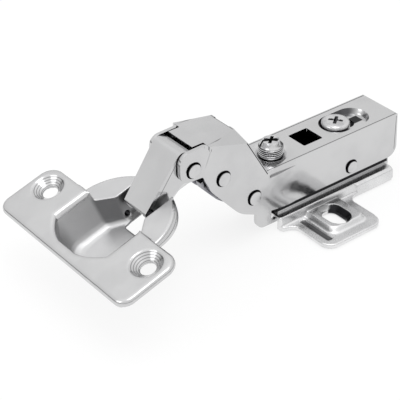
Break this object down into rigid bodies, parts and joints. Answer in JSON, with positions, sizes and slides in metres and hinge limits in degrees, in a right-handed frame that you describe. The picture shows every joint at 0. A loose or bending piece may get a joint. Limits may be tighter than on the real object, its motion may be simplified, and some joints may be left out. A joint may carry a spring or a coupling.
{
  "type": "concealed cup hinge",
  "caption": "Cranked concealed cabinet hinge, fully open: drawn cup with flange, two links, cranked arm and a wing mounting plate.",
  "frame": {"origin": "midway between the two wing slots of the mounting plate, on the plate's underside", "axes": "+X back along the arm away from the cup, +Y along the hinge axes, +Z out of the mounting plate"},
  "size_m": [0.1242, 0.0624, 0.0402],
  "materials": {
    "plated_steel": "bright nickel plating on pressed sheet",
    "zinc_steel": "bright zinc plating",
    "screw_steel": "nickel plated, turned",
    "pin_steel": "plain bright rivet ends",
    "spring_steel": "bright spring steel"
  },
  "bodies": {
    "plate_and_adapter": {"mounting_plate": "plated_steel", "clip_adapter": "zinc_steel", "catch_pin": "pin_steel"},
    "catch": {"release_catch": "zinc_steel", "catch_spring": "spring_steel"},
    "clamp": {"clamping_screw": "screw_steel"},
    "arm": {"cranked_arm": "plated_steel", "knuckle_rivet": "pin_steel", "link_rivet": "pin_steel", "spring_rivet": "pin_steel", "guide_rivet": "pin_steel", "closing_spring": "spring_steel"},
    "side_adjuster": {"side_screw": "screw_steel"},
    "front_link": {"outer_link": "plated_steel"},
    "rear_link": {"inner_link": "plated_steel"},
    "cup": {"hinge_cup": "plated_steel", "inner_link_pin": "pin_steel", "outer_link_pins": "pin_steel"}
  },
  "joints": [
    {"name": "catch_release", "type": "hinge", "parent": "plate_and_adapter", "child": "catch", "pos_m": [0.025, 0, 0.0106], "axis": [0, -1, 0], "range_deg": [0, 12], "stiffness_Nm_per_rad": 0.05, "springref_deg": -17.19},
    {"name": "clamp_turn", "type": "hinge", "parent": "plate_and_adapter", "child": "clamp", "pos_m": [0.014, 0, 0.0196], "axis": [0, 0, 1], "continuous": true},
    {"name": "depth_slide", "type": "slide", "parent": "plate_and_adapter", "child": "arm", "axis": [-1, 0, 0], "range_m": [0, 0.0046]},
    {"name": "side_turn", "type": "hinge", "parent": "arm", "child": "side_adjuster", "pos_m": [-0.0126, 0, 0.0225], "axis": [0, 0, 1], "continuous": true},
    {"name": "outer_link_swing", "type": "hinge", "parent": "arm", "child": "front_link", "pos_m": [-0.0477, 0, 0.0336], "axis": [0, -1, 0], "range_deg": [0, 45]},
    {"name": "cup_fold", "type": "hinge", "parent": "front_link", "child": "cup", "pos_m": [-0.0611, 0, 0.02265], "axis": [0, 1, 0], "range_deg": [0, 151.8]},
    {"name": "inner_link_swing", "type": "hinge", "parent": "cup", "child": "rear_link", "pos_m": [-0.05701, 0, 0.0224], "axis": [0, -1, 0], "range_deg": [0, 141.2]}
  ],
  "couplings": [
    {"joint": "outer_link_swing", "follows": "cup_fold", "ratio": 0.29513},
    {"joint": "inner_link_swing", "follows": "cup_fold", "ratio": 0.92885}
  ]
}
